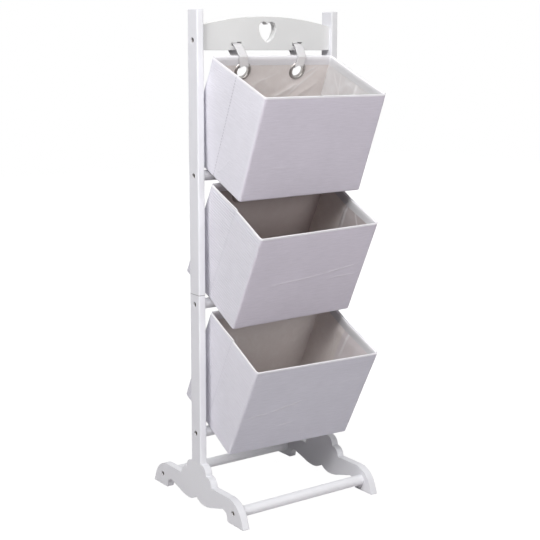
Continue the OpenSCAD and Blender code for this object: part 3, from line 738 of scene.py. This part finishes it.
def hemmed(points, bin_facts):
    """The hem follows the rim. It is a little uneven, and its ends overlap at the left side's fold."""
    x, y, z = points.T
    seed = bin_facts["seed"]
    away = outward(points * np.array([1, 1, 0]) - np.array([0, 0, 0.02]))
    uneven = rumple(points, 0.030, seed + 9)
    inside = ramp(-z, 0.002, 0.008)
    move = -away * (0.00025 * inside * (uneven * 0.5 + 0.5))[:, None]
    at_left = ramp(-x, BIN_W / 2 - 0.012, BIN_W / 2 - 0.005)
    from_fold = y - FOLD_Y
    step = ramp(from_fold, -0.0006, 0.0006) - 0.4
    move[:, 2] += bin_facts["step"] * 0.0013 * at_left * step * np.exp(-np.abs(from_fold) / 0.030)
    move[:, 2] += 0.0003 * uneven * (1 - inside)
    move *= clear_of_eyelets(points)[:, None]
    return points + move + slumped(points, bin_facts)


HEM = (0.80, 0.785, 0.815)
HEM_SHADE = (0.73, 0.715, 0.745)
HEM_INSIDE_PAINTED_SHADE = (0.60, 0.60, 0.615)
HEM_SEAM_DOWN = 0.0156


def hem_cloth():
    cloth = Finish("bin_hem_cloth", ior=1.4, sheen=0.1)
    threads, across, down = cloth.threads()
    weave = across.wave(THREAD_PITCH) * down.wave(THREAD_PITCH)
    slub = cloth.noise(threads, (120, 900, 0), 3, 0.6)
    sewn = 1 - abs(down + HEM_SEAM_DOWN).rise(0.0003, 0.0008)
    dent = sewn * (1 - across.wave(0.003).rise(-0.2, 0.2))
    # Painted shade on the hem's band inside the right wall, below the rim.
    to_left = (-cloth.facing("x")).rise(0.5, 0.9) * (-down).rise(0.0018, 0.0045)
    colour = cloth.mix(slub.rise(0.35, 0.7) * 0.5 + dent * 0.5, HEM, HEM_SHADE)
    # Painted highlight along the hem's top.
    colour = cloth.mix(down.rise(-0.0030, -0.0014), colour, RIM_PAINTED_HIGHLIGHT)
    return cloth.dress(Base_Color=cloth.mix(to_left, colour, HEM_INSIDE_PAINTED_SHADE), Roughness=0.85 + slub * 0.1,
                       Normal=cloth.bump(weave * 0.25 + slub * 0.6 - dent * 1.2, 0.00025, 0.5))


hem_base = cloth_base(hem_mesh())
hem_finish = hem_cloth()
for tier in BINS:
    make_layer(tier, "hem_cloth", hem_base, hemmed, hem_finish, "hem")

# Bin linings.
# A thin greige lining hangs loose inside the boards. It has a slight sheen and soft diagonal
# folds, most of all below the right eyelet and on the right side.

LINING = (0.67, 0.615, 0.598)
LINING_PALE = (0.76, 0.73, 0.715)
LINING_FOLD_HIGHLIGHT = (0.85, 0.84, 0.85)


def lining_cloth(name, bin_facts):
    """Thin lining whose folds carry a painted highlight. Its tone for each bin and the halves of its right
    panel are painted lighter and darker, as painted light and shade.
    """
    cloth = Finish(name, ior=1.45, sheen=0.12, sheen_roughness=0.3)
    threads, across, down = cloth.threads()
    grain = cloth.noise(threads, 1500)
    crinkle = cloth.noise(cloth.place(), 55, 4, 0.55, 0.6)
    cloud = cloth.noise(cloth.place(), 10)
    to_left, to_front = [(-cloth.facing(axis)).rise(0.5, 0.9) for axis in "xy"]
    pale = fine_folds(across, down, {"right": to_left, "back": to_front}, bin_facts["streaks"])
    # Each bin's lining tone is painted light and shade for that bin.
    dark_tone, pale_tone = [[t * v for t, v in zip(bin_facts["lining"], tone)]
                            for tone in (LINING, LINING_PALE)]
    colour = cloth.mix(crinkle.rise(0.35, 0.75) * 0.35 + cloud * 0.2, dark_tone, pale_tone)
    # The halves of the right panel are painted lighter and darker, as painted light and shade.
    behind = across.rise(FOLD_Y - 0.003, FOLD_Y + 0.003)
    for half, share in zip((behind, 1 - behind), bin_facts["right_lining"]):
        colour = cloth.mix(to_left * half, colour, share, "MULTIPLY")
    # Painted highlight along the streaks of the lining's folds.
    return cloth.dress(Base_Color=cloth.mix(pale * 0.55, colour, LINING_FOLD_HIGHLIGHT),
                       Roughness=0.5 + crinkle * 0.2,
                       Normal=cloth.bump(crinkle * 0.8 + grain * 0.05 + pale * 0.6, 0.0012, 0.5))


LINING_FOLDS = [
    ("back", (30, -60), (135, -8), 4.5, 2.0),
    ("back", (0, -110), (100, -40), 6, 1.6),
    ("back", (40, -118), (128, -52), 5, 1.8),
    ("back", (52, -66), (92, -48), 3.5, 1.6),
    ("back", (-60, -90), (-10, -40), 7, 1.0),
    ("back", (-20, -50), (12, -75), 5, 0.9),
    ("back", (-100, -120), (-40, -160), 8, 1.0),
    ("back", (85, -160), (142, -80), 6, 1.4),
    ("right", (-50, -60), (-105, -12), 5, 2.0),
    ("right", (-75, -85), (-140, -14), 5, 2.2),
    ("right", (-110, -90), (-112, -10), 4, 2.2),
    ("right", (-30, -110), (-85, -30), 6, 1.5),
    ("right", (-120, -120), (-175, -30), 5, 1.8),
    ("left", (-60, -90), (-120, -20), 6, 1.4),
]


def lined(points, bin_facts):
    """The lining's drape: it only ever comes inwards from the boards, and not at the eyelets."""
    away = outward(points)
    x, y, z = points.T
    seed = bin_facts["seed"]
    on = panels_of(away)
    down = np.clip(-z / BIN_H, 0, 1)
    slow = rumple(points, 0.060, seed + 2)
    quick = rumple(points, 0.020, seed + 4)
    pull = 0.0008 * (slow * 0.5 + 0.5) + 0.0003 * (quick * 0.5 + 0.5)
    pull += 0.0010 * np.sin(np.pi * down) * (0.6 + 0.6 * slow)
    for panel, start, end, width, height in LINING_FOLDS:
        across = x if panel in ("front", "back") else y
        deep = height * MM * bin_facts["loose"]
        pull += deep * on[panel] * crease(across, z, start, end, width)
    ridge = np.clip(1 - np.abs(y - FOLD_Y) / 0.028, 0, 1) * (1 - down ** 2)
    folded = np.array(bin_facts["fold_in"])[(x > 0).astype(int)] * 0.6 * MM
    pull += folded * ridge * (on["left"] + on["right"])
    pull = np.maximum(pull, 0) * ramp(-z, 0.019, 0.034) * clear_of_eyelets(points)
    return points - away * pull[:, None] + slumped(points, bin_facts)


FLOOR_IN = COVER_T + BASE_T
LINING_TOP = -0.0192
liner_base = cloth_base(new_mesh("liner", *shell(WALL_T - LINER_T, WALL_T, FLOOR_IN,
                                                 FLOOR_IN + LINER_T, LINING_TOP)))
for tier, facts in BINS.items():
    make_layer(tier, "lining_cloth", liner_base, lined,
               lining_cloth(f"bin_lining_{tier}", facts), "liner")

# Bin boards.
# Stiff grey boards keep a bin's walls and floor flat. They are hidden between the cover and
# the lining, and are out of square wherever the bin is.

SLACK, FOLD_GAP, BOARD_IN = 0.00012, 0.002, 0.008
BOARD_CELL = 0.012


def board_mesh(*boards):
    """Flat boards as closed grids, so that they can be bent out of square."""
    points, faces = [], []
    for low, high in boards:
        lines = []
        for a, b in zip(low, high):
            count = max(1, round((b - a) / BOARD_CELL))
            lines.append([a + (b - a) * k / count for k in range(count + 1)])
        first = len(points)
        board_points, board_faces, _ = grid_box(lines)
        points += board_points
        faces += [[first + v for v in face] for face in board_faces]
    return new_mesh("board", points, faces, smooth=False)


def boarded(points, bin_facts):
    """A board is as far out of square as its bin."""
    return points + slumped(points, bin_facts)


low_z, high_z = -BIN_H + 0.0042, -0.0064
flat_x, flat_y = BIN_W / 2 - BOARD_IN, (-BIN_D + BOARD_IN, -BOARD_IN)
out_in, in_in = COVER_T + SLACK, COVER_T + CARD_T - SLACK
back_board = punched(board_mesh(((-flat_x, -in_in, low_z), (flat_x, -out_in, high_z))))
front_board = board_mesh(((-flat_x, -BIN_D + out_in, low_z), (flat_x, -BIN_D + in_in, high_z)))
half_boards = []
for side in (-1, 1):
    walls = sorted((side * (BIN_W / 2 - out_in), side * (BIN_W / 2 - in_in)))
    for near, far in ((flat_y[0], FOLD_Y - FOLD_GAP), (FOLD_Y + FOLD_GAP, flat_y[1])):
        half_boards.append(((walls[0], near, low_z), (walls[1], far, high_z)))
side_boards = board_mesh(*half_boards)
base_board = board_mesh(((-flat_x, flat_y[0], -BIN_H + out_in),
                         (flat_x, flat_y[1], -BIN_H + FLOOR_IN - SLACK)))

card = Finish("grey_card")
card_fibre = card.noise(card.place(), 650, 4, 0.65)
card_finish = card.dress(Base_Color=card.mix(card_fibre.rise(0.3, 0.7), (0.48, 0.40, 0.31),
                                             (0.38, 0.32, 0.25)),
                         Roughness=0.85 + card_fibre * 0.1,
                         Normal=card.bump(card_fibre, 0.0002, 0.5))
for tier in BINS:
    for board, base in (("back_board", back_board), ("front_board", front_board),
                        ("side_boards", side_boards), ("base_board", base_board)):
        make_layer(tier, board, base, boarded, card_finish, board)

# Eyelets and washers.
# Nickel eyelets as on curtains: a sleeve through the back wall with a ring rolled over the
# lining, closed over a flat washer behind the bin.

EYELET_PROFILE = [(13, 0.7), (13, -4.9), (13.12, -5.7), (13.5, -6.35), (14.2, -6.72),
                  (15.2, -6.86), (16.5, -6.82), (17.8, -6.6), (18.9, -6.15), (19.6, -5.6),
                  (20, -4.95), (19.95, -4.62), (19.6, -4.55), (17, -4.55), (14.2, -4.55),
                  (13.8, -4.4), (13.8, 0), (13.85, 1.25), (14.6, 1.22), (15.1, 1.28),
                  (14.9, 1.42), (14.2, 1.5), (13.5, 1.4), (13.15, 1.15)]
WASHER_PROFILE = [(13.9, 0.02), (18.8, 0.02), (19, 0.2), (19, 0.9), (18.7, 1.15), (18, 1.2),
                  (13.9, 1.2)]
TURNS = 72


def lathed_pair(profile):
    """Turns a closed outline, each point (radius, y) in mm, about both eyelets' axes."""
    points, faces = [], []
    for x in EYELET_X:
        faces += ring_faces(TURNS, len(profile), len(points))
        for k in range(TURNS):
            a = 2 * math.pi * k / TURNS
            points += [(x + r * MM * math.cos(a), y * MM, -EYELET_DOWN + r * MM * math.sin(a))
                       for r, y in profile]
    return new_mesh("rings", points, faces)


def as_pulled(points, bin_facts):
    """Metal and webbing keep their shape and only follow the rim's back."""
    return points + np.array(bin_facts["pull"]) * MM


nickel = Finish("dull_nickel", metallic=1.0)
nickel_haze = nickel.noise(nickel.place(), 260, 3)
nickel_scuff = nickel.noise(nickel.place(), 1400)
nickel_finish = nickel.dress(
    Base_Color=nickel.mix(nickel_haze.rise(0.35, 0.7), (0.48, 0.46, 0.45), (0.38, 0.36, 0.34)),
    Roughness=0.26 + nickel_haze * 0.14, Normal=nickel.bump(nickel_scuff, 0.00006, 0.4))
eyelet_base = lathed_pair(EYELET_PROFILE)
washer_base = lathed_pair(WASHER_PROFILE)
for tier in BINS:
    make_layer(tier, "eyelet_rings", eyelet_base, as_pulled, nickel_finish, "eyelets")
    make_layer(tier, "washer_rings", washer_base, as_pulled, nickel_finish, "washers")

# Webbing loops.
# Each bin hangs by two loops of white 20 mm webbing. A loop goes over the rod, or through the
# rail's slot, then over the rim, down inside, out through the eyelet and back up.

STRAP_W, STRAP_T = 0.020, 0.0014
WEB_SIDE = [(-0.5, -0.32), (-0.46, -0.5), (-0.32, -0.46), (-0.16, -0.45), (0.0, -0.45), (0.16, -0.45),
            (0.32, -0.46), (0.46, -0.5), (0.5, -0.32)]
WEB_SECTION = WEB_SIDE + [(-u, -v) for u, v in WEB_SIDE]
WEB_GAP = 0.00025
ROD_R = 0.011 + WEB_GAP
BAR_R = math.hypot(0.016, 0.009) / 2 + WEB_GAP
BORE_R = 0.013
CURL_R = BORE_R - 0.0002 - STRAP_T / 2
CURL_FADE, WEB_CELL = 0.016, 0.002
CLEAR_INSIDE, CLEAR_BEHIND = 0.00255, 0.0019


def loop_path(bin_facts, pivot_r, bows, xs):
    """The middle line of a loop, as points of the upright bin, and how much it curls at each.

    In the eyelet the webbing curls to the round of the hole, and it lies flat everywhere else.
    """
    fold = 0.0013
    hole_z = -EYELET_DOWN + CURL_R + fold
    inside = -WALL_T - CLEAR_INSIDE - STRAP_T / 2 + fold
    outside = CLEAR_BEHIND + STRAP_T / 2 - fold
    _, back, up = [v * MM for v in bin_facts["pull"]]
    rollers = [((bin_facts["stand_off"] - back, bin_facts["rise"] - up), pivot_r + STRAP_T / 2),
               ((inside, 0.0004), fold), ((inside, hole_z), fold), ((outside, hole_z), fold)]

    def leaving(a, b):
        dy, dz = b[0][0] - a[0][0], b[0][1] - a[0][1]
        return math.atan2(dz, dy) - math.acos((a[1] - b[1]) / math.hypot(dy, dz))

    def on(roller, angle):
        return (roller[0][0] + roller[1] * math.cos(angle), roller[0][1] + roller[1] * math.sin(angle))

    path, curls = [], []
    for i, roller in enumerate(rollers):
        before, after = rollers[i - 1], rollers[(i + 1) % 4]
        start, end = leaving(before, roller), leaving(roller, after)
        sweep = (end - start) % (2 * math.pi)
        steps = max(4, math.ceil(math.degrees(sweep) / 8))
        curl_here, curl_next = (1.0 if i > 1 else 0.0), (1.0 if 0 < i < 3 else 0.0)
        for k in range(steps + 1):
            y, z = on(roller, start + sweep * k / steps)
            path.append((xs[i], y, z))
            curls.append(curl_here)
        a, b = on(roller, end), on(after, end)
        length = math.dist(a, b)
        cuts = max(2, round(length / WEB_CELL))
        normal = (math.cos(end), math.sin(end))
        for k in range(1, cuts):
            t = k / cuts
            ease = t * t * (3 - 2 * t)
            bow = bows[i] * math.sin(math.pi * t) ** 1.5
            path.append((xs[i] + (xs[(i + 1) % 4] - xs[i]) * ease,
                         a[0] + (b[0] - a[0]) * t + normal[0] * bow,
                         a[1] + (b[1] - a[1]) * t + normal[1] * bow))
            reach = length * (1 - t if curl_next > curl_here else t)
            fade = max(0.0, 1 - reach / CURL_FADE) if curl_next != curl_here else 1.0
            curls.append(max(curl_here, curl_next) * fade * fade * (3 - 2 * fade))
    return path, curls


def webbing_mesh(path, curls):
    """A flat band along a closed path, with rounded selvedges."""
    line = np.array(path)
    n, m = len(line), len(WEB_SECTION)
    ahead = np.roll(line, -1, 0) - np.roll(line, 1, 0)
    ahead /= np.linalg.norm(ahead, axis=1, keepdims=True)
    wide = np.array([1.0, 0, 0]) - ahead * ahead[:, :1]
    wide /= np.linalg.norm(wide, axis=1, keepdims=True)
    thick = np.cross(ahead, wide)
    points = []
    for p, w, t, curl in zip(line, wide, thick, curls):
        for u, v in WEB_SECTION:
            drop = CURL_R - math.sqrt(CURL_R ** 2 - (u * STRAP_W) ** 2)
            points.append(p + w * (u * STRAP_W) + t * (v * STRAP_T) - np.array([0, 0, drop * curl]))
    mesh = new_mesh("webbing", points, ring_faces(n, m))
    run = [0.0]
    for i in range(n):
        run.append(run[-1] + float(np.linalg.norm(line[(i + 1) % n] - line[i])))
    threads = mesh.uv_layers.new(name="threads")
    for face in mesh.polygons:
        i, k = divmod(face.index, m)
        ends = (run[i], run[i], run[i + 1], run[i + 1])
        sides = (WEB_SECTION[k][0], WEB_SECTION[(k + 1) % m][0])
        for loop, along, side in zip(face.loop_indices, ends, (sides[0], sides[1], sides[1], sides[0])):
            threads.data[loop].uv = (side * STRAP_W, along)
    return mesh


web = Finish("webbing_weave", ior=1.4, sheen=0.15)
web_threads, web_across, web_along = web.threads()
web_ribs = web_along.wave(0.0011)
web_bars = (web_across + web_along * 0.5).wave(0.0022)
web_edge = abs(web_across).rise(0.0082, 0.0092)
web_fuzz = web.noise(web_threads, 1800)
# Webbing that faces up is painted darker, as painted shade.
web_tone_with_painted_shade = web.mix(web.facing("z").rise(-0.2, 0.3), (0.90, 0.88, 0.885), (0.725, 0.715, 0.725))
web_finish = web.dress(
    Base_Color=web.mix(web_edge * 0.5 + web_fuzz * 0.3, web_tone_with_painted_shade, (0.66, 0.65, 0.67)),
    Roughness=0.8 + web_fuzz * 0.1,
    Normal=web.bump(web_ribs * 0.5 + web_bars * 0.35 - web_edge * 0.8 + web_fuzz * 0.3, 0.00022, 0.6))

SLOT_X = 0.0758
SLOT_SLIDE = 0.0014
for tier, facts in BINS.items():
    if tier == "top":
        pivot_r, bows, leans = BAR_R, (0.0016, 0, 0, 0.0012), (-0.007, 0.0015)
    else:
        pivot_r, bows, leans = ROD_R, (0.0010, 0, 0, 0.0008), (0, 0)
    for side, name, x, lean in zip((-1, 1), ("left", "right"), EYELET_X, leans):
        top_x = side * SLOT_X + SLOT_SLIDE - facts["shift"] if tier == "top" else x
        path, curls = loop_path(facts, pivot_r, bows, (top_x, x + lean, x, x))
        make_layer(tier, f"{name}_webbing", webbing_mesh(path, curls), as_pulled, web_finish,
                   f"{name}_strap")

for base in (cover_base, hem_base, liner_base, back_board, front_board, side_boards, base_board,
             eyelet_base, washer_base):
    bpy.data.meshes.remove(base)

# Studio.
# A pale floor and a white room with five soft lamps, the strongest at the upper left, and the
# camera where the photographer's was.

CAMERA_AT = Vector((-1.417338, -1.9853026, 0.951433))
YAW, PITCH, ROLL = 0.620686, 0.188702, 0.003268
FOCUS_PX, FRAME_PX, SENSOR_MM = 1179.008, 540, 36.0

ahead = Vector((math.sin(YAW) * math.cos(PITCH), math.cos(YAW) * math.cos(PITCH), -math.sin(PITCH)))
level = Vector((math.cos(YAW), -math.sin(YAW), 0))
upward = level.cross(ahead)
rolled = level * math.cos(ROLL) + upward * math.sin(ROLL)
upright = upward * math.cos(ROLL) - level * math.sin(ROLL)
lens = bpy.data.cameras.new("photo_camera")
lens.sensor_width = SENSOR_MM
lens.lens = FOCUS_PX / FRAME_PX * SENSOR_MM
lens.clip_end = 50
camera = bpy.data.objects.new("photo_camera", lens)
bpy.context.collection.objects.link(camera)
camera.matrix_world = Matrix.Translation(CAMERA_AT) @ Matrix(
    (rolled, upright, -ahead)).transposed().to_4x4()
bpy.context.scene.camera = camera


AIM = Vector((0, 0, 0.5))
LAMP_AWAY, LAMP_SIZE = 3.0, 1.4


def softbox(name, round_from_front, height, power):
    """A round lamp, so many degrees round to the rack's left and so many above it."""
    turn, rise = math.radians(round_from_front), math.radians(height)
    way = Vector((-math.cos(rise) * math.sin(turn), -math.cos(rise) * math.cos(turn), math.sin(rise)))
    light = bpy.data.lights.new(name, "AREA")
    light.shape = "DISK"
    light.size = LAMP_SIZE
    light.energy = power
    holder = bpy.data.objects.new(name, light)
    bpy.context.collection.objects.link(holder)
    holder.location = AIM + way * LAMP_AWAY
    holder.rotation_euler = (AIM - holder.location).to_track_quat("-Z", "Y").to_euler()


softbox("key_lamp", 66, 38.5, 64.5)
softbox("front_lamp", 27, 44, 29)
softbox("low_lamp", -8, 12, 25)
softbox("right_lamp", 262, 24, 15)
softbox("back_lamp", 196, 32, 17)

room = bpy.data.worlds.new("white_room")
room.use_nodes = True
bpy.context.scene.world = room
air = Nodes(room.node_tree)
sky = air.tree.nodes["Background"]
air.feed(sky.inputs["Color"], (0.97, 0.98, 1.0))
air.feed(sky.inputs["Strength"], 0.02)
backdrop = air.node("Background", None, {"Color": (1, 1, 1)})
air.feed(air.tree.nodes["World Output"].inputs["Surface"],
         air.node("MixShader", None, {0: air.seen_directly(), 1: Wire(air, sky.outputs[0]), 2: backdrop}))

FLOOR_HALF = 6
floor_mesh = new_mesh("floor", [(FLOOR_HALF * x, FLOOR_HALF * y, 0) for x, y in
                                ((-1, -1), (1, -1), (1, 1), (-1, 1))], [(0, 1, 2, 3)], smooth=False)
floor = bpy.data.objects.new("floor", floor_mesh)
bpy.context.collection.objects.link(floor)
pale = Finish("pale_floor")
speck = pale.noise(pale.place(), 30)
pale.dress(Base_Color=pale.mix(speck, (0.52, 0.49, 0.50), (0.50, 0.48, 0.49)), Roughness=0.8)
glow = pale.node("Emission", None, {"Color": (1, 1, 1), "Strength": 1.12})
distance = pale.node("VectorMath", {"operation": "LENGTH"}, {0: pale.place()}, output=1)
share = pale.seen_directly() * (distance.rise(0.3, 0.9) * 0.12 + 0.88)
lit = Wire(pale, pale.surface.outputs[0])
pale.feed(pale.tree.nodes["Material Output"].inputs["Surface"],
          pale.node("MixShader", None, {0: share, 1: lit, 2: glow}))
floor_mesh.materials.append(pale.material)

bpy.context.scene.view_settings.view_transform = "Standard"
